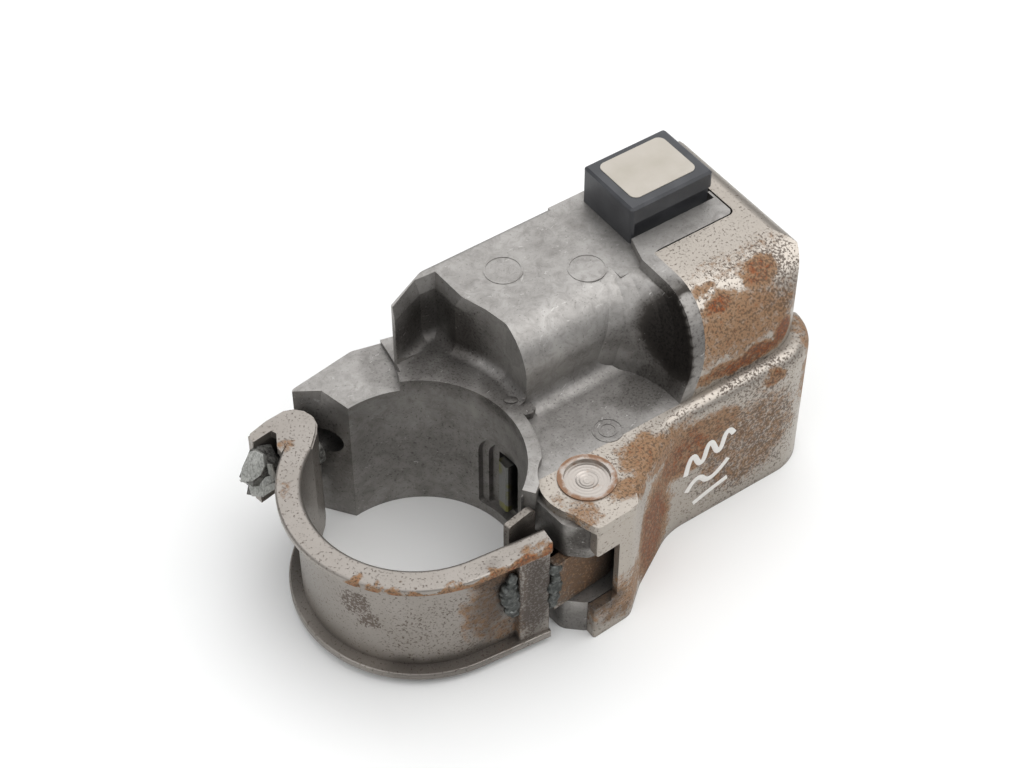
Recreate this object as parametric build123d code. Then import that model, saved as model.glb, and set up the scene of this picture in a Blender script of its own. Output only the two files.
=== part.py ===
from build123d import *
import math
import os

# Electric steering column lock, in millimetres.
# The Z axis is the axis of the steering column, Z zero is the underside the lock stands on,
# and the housing runs away from the column along X. The clamp band closes the -Y side.

# Column saddle
column_radius = 21.0
saddle_height = 32.5
leg_end_angle = 95.7
leg_end_heading = 126.6
leg_width = 12.9
leg_relief = 7.0
rim_height = 35.0
rim_width = 2.6

# Housing body, measured from the column's side or axis
housing_wall = 2.5
shelf_height = 33.5
shelf_front = -15.8
box_side = 0.5
box_back_gap = 8.7
shoulder_radius = 9.0
corner_radius = 3.5
pocket_reach = 5.2
pocket_wall = 3.0
bevel_depth = 3.0
bevel_spread = 1.2
deck_thickness = 2.0
seam_reach = 38.7
seam_slope = 0.335
flange_thickness = 3.0
flange_inset = 2.4
sweep_length = 9.0
mouth_depth = 1.0

# Cover
cover_wall = 2.0
cover_depth = 26.8
cover_shoulder = 14.0
cover_corner = 14.4
skirt_corner = 10.9
brow_radius = 4.0
skirt_front = -19.2
skirt_round = 3.0
ear_radius = 9.3
ear_side = 5.6
window_low = 9.6
window_high = 25.2
window_width = 5.4

# Hinge of the clamp band
hinge_reach = 3.7
hinge_drop = 20.6
pin_radius = 3.5
pin_head_radius = 5.7
pin_dish_radius = 4.5
running_gap = 0.05
free_gap = 0.3
strap_thickness = 2.2
strap_low = 9.2
strap_high = 22.4
lug_radius = 10.0
tab_thickness = 1.4
band_opening = 44.0
tab_top = 33.0

# Clamp band
band_gap = 0.8
band_thickness = 1.8
band_flange = 3.3
band_low = 1.6
band_high = 30.4
band_bend = 1.0
band_start_angle = 124.0
band_end_angle = 263.3
band_tail = 15.0
plate_length = 6.6
plate_thickness = 1.8
fold_low = 11.5

# What is left of the break-off bolt
bolt_radius = 3.2
bolt_hole_gap = 0.3
bolt_height = 21.5
bolt_heading = 188.0
bolt_hole_depth = 10.0

# Lock bolt and its slide
blade_width = 3.0
blade_tall = 13.6
blade_y = 2.2
blade_z = 11.5
blade_length = 30.0
head_length = 4.0
head_step = 1.2
window_side_gap = 1.3
window_end_gap = 0.4
window_floor = 2.6
slide_gap = 0.3
slider_wall = 2.5
arm_height = 4.0
arm_thickness = 3.2
spring_space = 9.0
spring_wire = 0.45
spring_radius = 2.0

# Gear train
gear_module = 0.6
wheel_teeth = 34
wheel_width = 5.0
worm_radius = 3.5
worm_length = 9.0
rack_module = 0.7
pinion_teeth = 14
rack_height = 5.0
tooth_backlash = 0.3
tooth_angle = 20.0
tooth_top = 0.8
tooth_foot = 1.2
axle_radius = 1.5
clip_width = 1.6
clip_thickness = 0.6
shaft_radius = 1.0
shaft_y = 15.2
bush_wall = 1.5

# Motor
motor_width = 20.0
motor_flat = 16.2
motor_length = 25.0
motor_cap = 3.0
motor_boss = 1.5
can_wall = 0.8
magnet_thickness = 1.6
magnet_gap = 0.5

# Connector and circuit board
connector_length = 20.2
connector_width = 15.9
connector_height = 9.0
connector_wall = 1.5
connector_step = 1.2
connector_band = 4.0
socket_depth = 9.5
label_margin = 2.2
label_thickness = 0.15
board_thickness = 1.6
board_drop = 1.6
contact_count = 4
contact_size = 0.64
contact_pitch = 3.4
contact_length = 7.0
platform_thickness = 2.0
platform_front = 5.6
platform_reach = 20.4
sensor_size = 3.0
sensor_height = 1.2
cover_pin_radius = 1.5
cover_pin_depth = 3.0

# Places worked out from the sizes above
arm_low = blade_z + blade_tall / 2 + 1.7
rack_low = arm_low + arm_height
rack_top = rack_low + rack_height
motor_low = rack_top + slide_gap + deck_thickness
shaft_height = motor_low + motor_flat / 2
rotor_radius = motor_flat / 2 - can_wall - magnet_thickness - magnet_gap
box_height = motor_low + motor_flat + housing_wall
cover_height = box_height + cover_wall
box_back = column_radius + box_back_gap
seam_top = column_radius + seam_reach
seam_bottom = seam_top - seam_slope * (cover_height - shelf_height)
end_x = seam_top + cover_depth
hinge_x = column_radius + hinge_reach
hinge_y = -hinge_drop
pocket_back = column_radius + pocket_reach
platform_end = seam_top + platform_reach
lug_top = shelf_height - cover_wall
band_radius = column_radius + band_gap
band_outer = band_radius + band_thickness
band_lip = band_outer + band_flange
wheel_radius = gear_module * wheel_teeth / 2
pinion_radius = rack_module * pinion_teeth / 2
wheel_x = end_x - cover_wall - wheel_radius - gear_module - 2.0
wheel_y = shaft_y - wheel_radius - worm_radius
wheel_z = shaft_height
bolt_travel = pinion_radius * math.pi / 2
rack_line = wheel_y + pinion_radius
arm_back = rack_line + rack_module + arm_thickness
blade_tip = column_radius + 0.15
blade_end = blade_tip + blade_length
slider_front = blade_end - head_length - slider_wall
slider_end = blade_end + spring_space + slider_wall
rack_end = end_x - cover_wall - 0.6
motor_start = pocket_back + pocket_wall
motor_end = motor_start + motor_length
board_top = box_height - platform_thickness - board_drop
connector_x = seam_top - 1.0
connector_y = box_back - 2.0 - connector_width
connector_top = box_height + connector_height
contact_y = connector_y + connector_width - socket_depth - 2.5
contact_z = box_height + connector_height / 2


def polar(radius, angle):
    return (radius * math.cos(math.radians(angle)), radius * math.sin(math.radians(angle)))


def rounded_face(points, radii):
    return make_face(FilletPolyline(*points, radius=radii, close=True))


def prism(points, low, high, radii=0):
    # A plan outline raised from one height to another
    return Pos(0, 0, low) * extrude(rounded_face(points, radii), amount=high - low)


def along_x(points, start, end, radii=0):
    # A (Y, Z) section drawn out along X
    return extrude(Plane.YZ.offset(start) * rounded_face(points, radii), amount=end - start)


def along_y(points, start, end, radii=0):
    # An (X, Z) section drawn out along Y
    plane = Plane((0, start, 0), x_dir=(1, 0, 0), z_dir=(0, -1, 0))
    return extrude(plane * rounded_face(points, radii), amount=start - end)


def block(x0, x1, y0, y1, z0, z1):
    return Pos((x0 + x1) / 2, (y0 + y1) / 2, (z0 + z1) / 2) * Box(x1 - x0, y1 - y0, z1 - z0)


def rod_z(x, y, radius, low, high):
    return Pos(x, y, (low + high) / 2) * Cylinder(radius, high - low)


def rod_x(start, end, radius, y=shaft_y, z=shaft_height):
    return Pos((start + end) / 2, y, z) * Rot(0, 90, 0) * Cylinder(radius, end - start)


def seam_side(shift, low, high):
    # Everything on the column's side of the slanting seam between housing and cover
    ends = [seam_top - seam_slope * (cover_height - height) + shift for height in (low, high)]
    face = make_face(Polyline((0, low), (ends[0], low), (ends[1], high), (0, high), close=True))
    return extrude(Plane.XZ * face, amount=60, both=True)


def cap_section(inset, low):
    # Stepped end section shared by the housing flange and the cover
    return [
        (box_back - inset, low),
        (box_back - inset, cover_height - inset),
        (shelf_front + inset, cover_height - inset),
        (shelf_front + inset, low),
    ]


def cap_radii(inset):
    return [0, 1.5, cover_shoulder - inset, 0]


# Housing


def leg_frame(distance, along):
    # A point off the leg's end face, measured from its inner corner
    corner = polar(column_radius, leg_end_angle)
    step = polar(along, leg_end_heading)
    out = polar(distance, leg_end_heading + 90)
    return (corner[0] + step[0] + out[0], corner[1] + step[1] + out[1])


def saddle_outline():
    return [
        polar(column_radius - 4, leg_end_angle),
        polar(column_radius, leg_end_angle),
        leg_frame(0, leg_width),
        polar(column_radius + 13.2, 79),
        (column_radius + 1.0, box_back),
        (seam_bottom, box_back),
        (seam_bottom, shelf_front),
        (column_radius + 12.0, shelf_front),
        (hinge_x + lug_radius - 2.0, hinge_y - 3.0),
        (hinge_x + 4.0, hinge_y - lug_radius + 1.4),
        (hinge_x - ear_side, hinge_y - lug_radius + 1.0),
        (hinge_x - lug_radius + 0.6, hinge_y - 5.5),
        (hinge_x - lug_radius, hinge_y + 2.5),
        (hinge_x - lug_radius + 0.6, hinge_y + 4.0),
        polar(column_radius, -55.5),
        polar(column_radius - 4, -55.5),
    ]


def saddle_block():
    radii = [0, 0, 1.2, 3, 0, 0, 0, 3, 4, 4, 2.5, 3, 1, 0.5, 0, 0]
    body = prism(saddle_outline(), 0, shelf_height, radii) + tray()
    # The hinge lugs lie under the cover's ear
    body -= block(hinge_x - lug_radius - 1, column_radius + 20, -60, shelf_front, lug_top, shelf_height + 1)
    # The leg's top is lower than the shelf
    leg = [(-40, 60), (-40, 0), (0, 0), (column_radius - 9.6, box_back - 4.9), (column_radius - 4, 60)]
    body -= prism(leg, saddle_height, shelf_height + 1)
    return body - leg_slope()


def cap_plan(inset):
    return [
        (seam_bottom - 8, box_back - inset),
        (end_x - inset, box_back - inset),
        (end_x - inset, shelf_front + inset),
        (seam_bottom - 8, shelf_front + inset),
    ]


def cap_plan_radii(inset):
    return [0, 3 - 0.5 * inset, cover_corner - inset, 0]


def tray():
    # The cover closes this end, so past the seam the casting is only a floor
    return prism(cap_plan(cover_wall), 0, housing_wall, cap_plan_radii(cover_wall))


def leg_slope():
    # The leg's end falls away from its top edge
    top = [leg_frame(0, 0), leg_frame(-2.8, 6.6), leg_frame(-0.9, 11.8), leg_frame(3, 14), leg_frame(3, 0)]
    foot = [leg_frame(0, 0), leg_frame(0, 6.6), leg_frame(0, 11.8), leg_frame(3, 14), leg_frame(3, 0)]
    high = make_face(Polyline(*top, close=True))
    low = make_face(Polyline(*foot, close=True))
    return loft([Pos(0, 0, saddle_height - leg_relief) * low, Pos(0, 0, saddle_height) * high], ruled=True)


def rim_land():
    # Raised land round the bore in front of the scoop and the shelf
    ring = rod_z(0, 0, column_radius + rim_width, saddle_height - 2, rim_height)
    ring -= rod_z(hinge_x, hinge_y, ear_radius, 0, rim_height + 1)
    sector = [(0, 0), polar(60, -54), (60, 0), polar(60, 40), (column_radius - 9.8, box_back - 5.4)]
    return ring & prism(sector, 0, rim_height + 1)


def box_block():
    section = [
        (box_back, shelf_height - 6),
        (box_back, box_height),
        (box_side, box_height),
        (box_side, shelf_height - 6),
    ]
    body = along_x(section, column_radius - 10, seam_top + 1, [0, 1.0, shoulder_radius, 0])
    plan = [
        (column_radius - 9.8, box_back - 4.9),
        (column_radius + 0.9, box_back),
        (seam_top + 1, box_back),
        (seam_top + 1, box_side - 1),
        (0, box_side - 1),
        (0, box_back - 12),
        (column_radius - 10.2, box_back - 7),
    ]
    body &= prism(plan, 0, box_height + 1)
    return body & seam_side(0, 0, box_height + 2)


def corner_bead(size):
    # What fills an inside corner to leave a hollow round of this radius
    return Rectangle(size, size, align=Align.MIN) - Pos(size, size) * Circle(size)


def corner_fillet():
    # Hollow round between the box's side wall and the shelf
    plane = Plane((pocket_back, box_side, shelf_height), x_dir=(0, -1, 0), z_dir=(-1, 0, 0))
    return extrude(plane * corner_bead(corner_radius), amount=pocket_back - seam_bottom)


def sweep_face(turn):
    # One slanting section of the hollow sweep, from just inside the box at zero to the flange at ninety
    side = box_side + 0.05 - (box_side - shelf_front - flange_inset) * (1 - math.cos(math.radians(turn)))
    reach = sweep_length * (1 - math.sin(math.radians(turn))) + flange_thickness
    stretch = math.hypot(1, seam_slope)
    high = (box_height - shelf_height) * stretch
    plane = Plane((seam_bottom - reach, 0, shelf_height), x_dir=(0, 1, 0), z_dir=(1, 0, -seam_slope))
    corners = [(box_back - 3, -1), (box_back - 3, high), (side, high), (side, -1)]
    return plane * rounded_face(corners, [0, 0, shoulder_radius + 0.6 + 1.8 * turn / 90, 0])


def flange_sweep():
    # Hollow that sweeps the box's side wall out into the flange
    return loft([sweep_face(turn) for turn in (0, 25, 45, 62, 77, 90)], ruled=True)


def end_flange():
    low = shelf_height - 1
    plate = along_x(cap_section(0, low), seam_bottom - 12, seam_top + 2, cap_radii(0))
    plate &= seam_side(0, low, cover_height + 2) - seam_side(-flange_thickness, low, cover_height + 2)
    return plate & block(0, end_x, -60, platform_front, low, cover_height)


def platform():
    # Flat seat of the connector, reaching into a notch in the cover
    outline = [
        (seam_top - 8, platform_front),
        (platform_end, platform_front),
        (platform_end, box_back),
        (seam_top - 8, box_back),
    ]
    return prism(outline, box_height - platform_thickness, box_height, [0, 1.5, 1.0, 0])


def main_housing():
    body = saddle_block() + rim_land() + box_block() + corner_fillet() + flange_sweep() + end_flange()
    body += platform()
    body += pocket_floor()
    body -= pocket_scoop()
    body -= pocket_bevel()
    body -= rod_z(0, 0, column_radius, -1, box_height + 10)
    for space in mechanism_spaces():
        body -= space
    body -= bolt_window()
    body -= hinge_slot()
    body -= rod_z(hinge_x, hinge_y, pin_radius, -1, lug_top + 1)
    body -= rod_z(hinge_x, hinge_y, pin_head_radius, lug_top, shelf_height + 1)
    body -= bolt_rod(-bolt_hole_depth, 8, bolt_radius)
    body += inner_supports()
    for pin in cover_pins():
        body -= pin
    return body


def pocket_outline():
    # Inner outline of the scoop in front of the box
    return [
        (column_radius - 9.8, box_back - 6.3),
        (column_radius - 2.1, box_back - 3.1),
        (pocket_back - 3.8, box_back - 3.3),
        (pocket_back - 3.6, box_back - 9.7),
        (pocket_back - 0.9, box_back - 16.3),
        (pocket_back + 0.1, box_back - 21.7),
        (pocket_back - 0.4, box_side + 1.0),
        (pocket_back - 1.0, box_side - 12.0),
        (0, box_side - 12.0),
        (0, box_back - 6.3),
    ]


def pocket_floor():
    # The scoop's floor stands a little above the shelf
    low = shelf_height - 6
    floor = prism(pocket_outline(), low, rim_height)
    cover = [
        polar(column_radius - 1, 20),
        (pocket_back, box_side),
        (pocket_back + 2, box_back - 3),
        (column_radius - 9.8, box_back - 5),
        polar(column_radius - 1, 62),
    ]
    return floor & prism(cover, low, rim_height)


def pocket_scoop():
    scoop = prism(pocket_outline(), rim_height, box_height + 2)
    foot = scoop.edges().filter_by_position(Axis.Z, rim_height, rim_height)
    back = foot.filter_by(lambda edge: edge.center().Y > box_side + 1 and edge.center().X > column_radius - 9)
    return fillet(back, 2.2)


def bevel_outline(spread):
    # The scoop's rim opens out by this much, and by nothing at its right-hand end
    return [
        (column_radius - 9.8 - 0.2 * spread, box_back - 6.3 + 0.6 * spread),
        (column_radius - 2.1 - 0.3 * spread, box_back - 3.1 + 1.1 * spread),
        (pocket_back - 3.8 + 0.7 * spread, box_back - 3.3 + 1.0 * spread),
        (pocket_back - 3.6 + 0.8 * spread, box_back - 9.7 - 1.0 * spread),
        (pocket_back - 0.9, box_back - 16.3),
        (column_radius - 3.0, box_back - 20.0),
        (2.0, box_back - 20.0),
        (2.0, box_back - 6.3),
    ]


def pocket_bevel():
    lower = make_face(Polyline(*bevel_outline(0), close=True))
    upper = make_face(Polyline(*bevel_outline(bevel_spread), close=True))
    return loft([Pos(0, 0, box_height - bevel_depth) * lower, Pos(0, 0, box_height + 0.1) * upper], ruled=True)


def mechanism_spaces():
    # Slide space below the deck, motor space above it, the mouth at the seam and the board's opening
    slide_top = motor_low - deck_thickness
    slide = block(
        column_radius + 14.5,
        end_x,
        shelf_front + housing_wall,
        box_back - housing_wall,
        housing_wall,
        slide_top,
    )
    section = [
        (box_back - housing_wall, motor_low),
        (box_back - housing_wall, box_height - housing_wall),
        (box_side + housing_wall, box_height - housing_wall),
        (box_side + housing_wall, motor_low),
    ]
    motor = along_x(section, motor_start, end_x, [0, 1, shoulder_radius - housing_wall, 0])
    mouth = along_x(
        cap_section(flange_thickness, housing_wall),
        seam_bottom - 1.5,
        end_x,
        cap_radii(flange_thickness),
    )
    mouth -= seam_side(-mouth_depth, 0, cover_height + 2)
    mouth &= block(0, end_x, -60, 60, housing_wall, box_height - platform_thickness)
    header = block(
        seam_top + 1.5,
        platform_end - 3.0,
        platform_front + 9.0,
        box_back - 4.0,
        box_height - platform_thickness - 1,
        box_height + 1,
    )
    return [slide, motor, mouth, header]


def bolt_window():
    half = blade_width / 2 + window_side_gap
    tall = blade_tall / 2 + window_end_gap
    hole = block(
        column_radius - 3,
        column_radius + 18,
        blade_y - half,
        blade_y + half,
        blade_z - tall,
        blade_z + tall,
    )
    return hole + window_recess(7.0, 24.6, 1.0) + window_recess(5.6, 22.8, 2.0)


def window_recess(half, top, depth):
    # One step of the arched recess round the bolt's window
    points = [
        (blade_y - 1.2 + half, window_floor),
        (blade_y - 1.2 + half, top),
        (blade_y - 1.2 - half, top),
        (blade_y - 1.2 - half, window_floor),
    ]
    arch = along_x(points, 0, column_radius + 4, [0.8, half - 0.2, half - 0.2, 0.8])
    return arch & rod_z(0, 0, column_radius + depth, 0, box_height)


def strap_sweep():
    # Room for the strap from the closed band to the open one
    low = strap_low - free_gap
    high = strap_high + free_gap
    start = tail_point(band_tail + 0.6, band_thickness + strap_thickness / 2 - 0.2)
    turn = arm_heading(start, pin_radius + running_gap + strap_thickness / 2, -1) + band_opening
    side = polar(pin_radius + running_gap + strap_thickness + free_gap + 0.1, turn - 90)
    along = polar(30, turn + 180)
    sweep = [
        (hinge_x, hinge_y),
        (hinge_x + side[0], hinge_y + side[1]),
        (hinge_x + side[0] + along[0], hinge_y + side[1] + along[1]),
        (-10, hinge_y - 25),
        (-10, hinge_y + 6.2),
        (hinge_x - 2.0, hinge_y + 6.2),
    ]
    slot = prism(sweep, low, high)
    return slot + rod_z(hinge_x, hinge_y, pin_radius + strap_thickness + 0.6, low, high)


def hinge_slot():
    return strap_sweep() - rod_z(0, 0, column_radius, 0, box_height)


def inner_supports():
    # Post of the worm wheel, wall of the far shaft bearing and the rib that takes the cover's pins
    floor = housing_wall - 0.5
    post = rod_z(wheel_x, wheel_y, axle_radius + 2.1, floor, rack_low)
    post -= rod_z(wheel_x, wheel_y, axle_radius, housing_wall + 4, rack_low + 1)
    wall = block(platform_end - 1.6, platform_end + 0.9, shaft_y - 4.5, shaft_y + 4.5, floor, shaft_height + 4.5)
    wall -= rod_x(platform_end - 3, platform_end + 3, shaft_radius + bush_wall)
    wall -= block(0, end_x, 0, arm_back + slide_gap, arm_low - 1, rack_top + 1)
    back = box_back - cover_wall
    rib = block(seam_bottom + 2, platform_end, back - cover_pin_depth - 1, back, floor, housing_wall + 8)
    return post + wall + rib


# Cover


def skirt_outline(inset):
    # Plan outline of the cover's lower side, from the far end round to the hinge ear
    return [
        (end_x - inset, box_back - inset),
        (end_x - inset, skirt_front + inset),
        (column_radius + 26.0, skirt_front + inset),
        (hinge_x + 9.5, hinge_y - 6.0 + inset),
        (hinge_x + 3.5, hinge_y - 10.8 + inset),
        (hinge_x - ear_side, hinge_y - 11.2 + inset),
        (hinge_x - ear_side, hinge_y),
        (hinge_x - 4.0, shelf_front + 0.5),
        (seam_bottom, shelf_front + 0.5),
        (seam_bottom, box_back - inset),
    ]


def cover_cap(inset):
    body = along_x(cap_section(inset, 0), seam_bottom - 8, end_x - inset, cap_radii(inset))
    body &= prism(cap_plan(inset), 0, cover_height, cap_plan_radii(inset))
    brow = [
        (seam_bottom - 8, 0),
        (end_x - inset, 0),
        (end_x - inset, cover_height - inset),
        (seam_bottom - 8, cover_height - inset),
    ]
    return body & along_y(brow, shelf_front, box_back, [0, 0, brow_radius - inset, 0])


def ear_plate():
    disc = rod_z(hinge_x, hinge_y, ear_radius, lug_top, shelf_height)
    outline = [
        (hinge_x - 3.0, shelf_front + 0.02),
        (hinge_x - 7.5, hinge_y - 6.0),
        (hinge_x - ear_side, hinge_y - 11.2),
        (hinge_x + 4.0, hinge_y - 10.8),
        (hinge_x + 10.0, hinge_y),
        (hinge_x + 10.0, shelf_front),
    ]
    plate = disc + prism(outline, lug_top, shelf_height, [0, 3, 1.5, 2, 0, 0])
    return plate & block(0, end_x, -60, shelf_front, 0, shelf_height)


def skirt():
    radii = [3, skirt_corner, 14, 10, 4, 0.5, 0, 0, 0, 0]
    body = prism(skirt_outline(0), 0, shelf_height, radii)
    rim = body.edges().filter_by_position(Axis.Z, shelf_height, shelf_height)
    rim = rim.filter_by(lambda edge: edge.center().Y < shelf_front - 1 and edge.center().X > hinge_x - 5.0)
    body = fillet(rim, skirt_round)
    return body & block(0, end_x, -60, shelf_front + 6.8, 0, cover_height)


def skirt_hollow():
    radii = [2, skirt_corner - cover_wall, 16, 8, 2, 0.3, 0, 0, 0, 0]
    hollow = prism(skirt_outline(cover_wall), -1, lug_top, radii)
    return hollow & block(0, end_x, -60, shelf_front + 7.8, -1, cover_height)


def cover():
    body = skirt() + cover_cap(0)
    body -= skirt_hollow()
    body -= cover_cap(cover_wall)
    body -= block(seam_bottom - 20, end_x - cover_wall - 5, shelf_front, box_back - cover_wall, -1, lug_top)
    body += ear_plate()
    # Slanting seam against the housing's flange, and the notch round the connector
    body -= seam_side(0, shelf_height, cover_height + 2)
    body -= block(0, seam_bottom, shelf_front, 60, -1, shelf_height + 1)
    notch = [
        (seam_top - 8, platform_front),
        (platform_end, platform_front),
        (platform_end, box_back + 5),
        (seam_top - 8, box_back + 5),
    ]
    body -= prism(notch, box_height - platform_thickness, cover_height + 2, [0, 1.5, 0, 0])
    # Open side where the strap leaves, above the bottom lip
    body -= block(0, hinge_x - ear_side + window_width, -60, hinge_y - 4, window_low, window_high)
    body -= strap_sweep()
    body -= block(0, hinge_x - ear_side + cover_wall, hinge_y - 8.5, shelf_front, -1, lug_top)
    body -= rod_z(hinge_x, hinge_y, pin_head_radius, -1, shelf_height + 1)
    for pin in cover_pins():
        body -= pin
    return body


def cover_pins():
    # Pressed-in pins through the cover's back wall
    pins = []
    for x in (seam_bottom + 8.0, platform_end - 4.0):
        middle = box_back - (cover_wall + cover_pin_depth) / 2
        shank = Cylinder(cover_pin_radius, cover_wall + cover_pin_depth)
        pins.append(Pos(x, middle, housing_wall + 4) * Rot(90, 0, 0) * shank)
    return pins


# Hinge


def hinge_pin():
    pin = rod_z(hinge_x, hinge_y, pin_radius, 0.6, lug_top)
    pin += rod_z(hinge_x, hinge_y, pin_head_radius, lug_top, shelf_height + 0.3)
    bowl = rod_z(hinge_x, hinge_y, pin_dish_radius, shelf_height - 0.5, shelf_height + 2)
    bowl += Pos(hinge_x, hinge_y, shelf_height + 7.8) * Sphere(8.6)
    return pin - (bowl & rod_z(hinge_x, hinge_y, pin_dish_radius, 0, 60))


def arm_heading(start, radius, side):
    dx = hinge_x - start[0]
    dy = hinge_y - start[1]
    return math.degrees(math.atan2(dy, dx) + side * math.asin(radius / math.hypot(dx, dy)))


def arm(start, radius, side):
    # A flat arm tangent to the knuckle, on its near side for -1 and its far side for +1
    half = strap_thickness / 2
    heading = arm_heading(start, radius, side)
    length = math.sqrt((hinge_x - start[0]) ** 2 + (hinge_y - start[1]) ** 2 - radius**2)
    bar = Box(length, 2 * half, strap_high - strap_low, align=(Align.MIN, Align.CENTER, Align.MIN))
    return Pos(start[0], start[1], strap_low) * Rot(0, 0, heading) * bar


def stop_tab():
    # Upright stop at the end of the inner arm, its top corner rounded
    outline = FilletPolyline(
        (0, strap_low),
        (7.0, strap_low),
        (7.0, tab_top),
        (0, tab_top),
        radius=[0, 0.5, 1.5, 0.5],
        close=True,
    )
    origin = (hinge_x - 18.9, hinge_y - 0.5, 0)
    plane = Plane(origin=origin, x_dir=(0.985, 0.174, 0), z_dir=(0.174, -0.985, 0))
    return extrude(plane * make_face(outline), amount=tab_thickness / 2, both=True)


def hinge_strap():
    radius = pin_radius + running_gap + strap_thickness / 2
    knuckle = rod_z(hinge_x, hinge_y, radius + strap_thickness / 2, strap_low, strap_high)
    outer_arm = arm(tail_point(band_tail + 0.6, band_thickness + strap_thickness / 2 - 0.2), radius, -1)
    inner_arm = arm((hinge_x - 13.2, hinge_y + 0.75), radius, 1)
    strap = knuckle + outer_arm + inner_arm + stop_tab()
    return strap - rod_z(hinge_x, hinge_y, pin_radius + running_gap, 0, 60)


# Clamp band


def band_section():
    # Channel section: a web with both edges turned outwards, the lower one a little less
    top = band_thickness + band_flange
    foot = top - 0.7
    points = [
        (0, band_low),
        (foot, band_low),
        (foot, band_low + band_thickness),
        (band_thickness, band_low + band_thickness),
        (band_thickness, band_high - band_thickness),
        (top, band_high - band_thickness),
        (top, band_high),
        (0, band_high),
    ]
    return rounded_face(points, [band_bend, 0.5, 0.4, 0, 0, 0.4, 0.5, band_bend])


def band_arc():
    face = Plane((band_radius, 0, 0), x_dir=(1, 0, 0), z_dir=(0, -1, 0)) * band_section()
    ring = revolve(face, Axis.Z, revolution_arc=band_end_angle - band_start_angle)
    return Rot(0, 0, band_start_angle) * ring


def tail_point(distance, out):
    # A point on the band's straight tail, out from the arc's end and off the inner face
    start = polar(band_radius + out, band_end_angle)
    step = polar(distance, band_end_angle + 90)
    return (start[0] + step[0], start[1] + step[1])


def tail_slab(near, far, inner, outer, low, high, radii=0):
    corners = [tail_point(near, inner), tail_point(far, inner), tail_point(far, outer), tail_point(near, outer)]
    return prism(corners, low, high, radii)


def band_tail_piece():
    start = polar(band_radius, band_end_angle)
    out = polar(1, band_end_angle)
    heading = polar(1, band_end_angle + 90)
    plane = Plane((start[0], start[1], 0), x_dir=(*out, 0), z_dir=(-heading[0], -heading[1], 0))
    tail = extrude(plane * band_section(), amount=-band_tail)
    return tail & tail_slab(-1, band_tail, -1, band_thickness + band_flange, 0, 60, [0, 0, 1.4, 0])


def lug_web_outline(inner_side):
    # The web leaves the arc, turns out along the leg and folds back over the bolt
    curve = [
        polar(band_radius, band_start_angle),
        (-9.4, 20.9),
        (-8.0, 23.0),
        (-7.6, 25.0),
        (-8.2, 27.2),
        (-9.8, 28.9),
        (-11.8, 29.5),
        (-20.6, 28.0),
    ]
    offset = [
        polar(band_outer, band_start_angle),
        (-10.7, 22.3),
        (-9.7, 23.6),
        (-9.4, 25.0),
        (-9.8, 26.4),
        (-10.7, 27.3),
        (-11.8, 27.7),
        (-20.3, 26.2),
    ]
    return curve if inner_side else offset


def lug_strip(first, last, low, high):
    inner = lug_web_outline(True)[first : last + 1]
    outer = lug_web_outline(False)[first : last + 1]
    return prism(inner + outer[::-1], low, high)


def end_lug():
    # Folded box at the band's far end, open towards the head of the bolt
    body = lug_strip(0, 3, band_low + 0.6, band_high - 0.6)
    body += lug_strip(3, 6, fold_low - 3.0, band_high - 0.6)
    body += lug_strip(6, 7, fold_low, band_high - 0.6)
    roof = [
        polar(band_radius + 0.3, band_start_angle),
        (-9.6, 21.2),
        (-8.3, 23.1),
        (-7.9, 25.0),
        (-8.5, 27.0),
        (-10.0, 28.6),
        (-11.8, 29.3),
        (-15.9, 29.0),
        (-20.4, 27.9),
        (-20.9, 25.7),
        (-16.4, 26.3),
        (-15.9, 25.1),
        (-17.6, 22.0),
        polar(band_lip, band_start_angle + 7),
        polar(band_lip - 0.2, band_start_angle + 1),
    ]
    radii = [0, 0, 0.5, 0.5, 0.5, 0.5, 0.5, 0, 1.0, 0.4, 0.3, 0.3, 0.6, 0, 0]
    body += prism(roof, band_high - band_thickness, band_high, radii)
    floor = [
        polar(band_radius + 0.3, band_start_angle),
        (-9.6, 21.2),
        (-8.3, 23.1),
        (-10.0, 24.6),
        (-14.6, 23.4),
        polar(band_lip - 0.9, band_start_angle + 2),
    ]
    body += prism(floor, band_low, band_low + band_thickness, [0, 0, 0.6, 0.8, 1.5, 0])
    return body - bolt_rod(-2, 8, bolt_radius + bolt_hole_gap)


def clamp_band():
    return band_arc() + band_tail_piece() + end_lug()


def joint_plate():
    # Lapped plate that joins the band's tail to the hinge strap
    return tail_slab(
        band_tail - plate_length,
        band_tail,
        band_thickness,
        band_thickness + plate_thickness,
        band_low + band_thickness,
        band_high - band_thickness,
        [0, 0, 0.5, 0.5],
    )


def weld_beads():
    beads = []
    middle = (band_low + band_high) / 2
    places = [
        (band_tail - plate_length - 0.2, middle + 1.2, 2.8, 6.4, band_thickness),
        (band_tail + 0.9, middle - 0.2, 1.6, 6.2, band_thickness + plate_thickness - 0.4),
    ]
    around = [clamp_band(), joint_plate(), hinge_strap()]
    for along, height, wide, tall, out in places:
        x, y = tail_point(along, out)
        bead = Pos(x, y, height) * Rot(0, 0, band_end_angle + 90) * scale(Sphere(1), by=(wide, 1.4, tall))
        for piece in around:
            bead -= piece
        beads.append(bead)
    return beads


# Break-off bolt


def bolt_plane(distance):
    # A plane square to the bolt, measured out from the band's lug
    out = polar(distance, bolt_heading)
    direction = polar(1, bolt_heading)
    return Plane(origin=(-9.8 + out[0], 24.4 + out[1], bolt_height), z_dir=(*direction, 0))


def bolt_rod(near, far, radius):
    return extrude(bolt_plane(near) * Circle(radius), amount=far - near)


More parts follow.
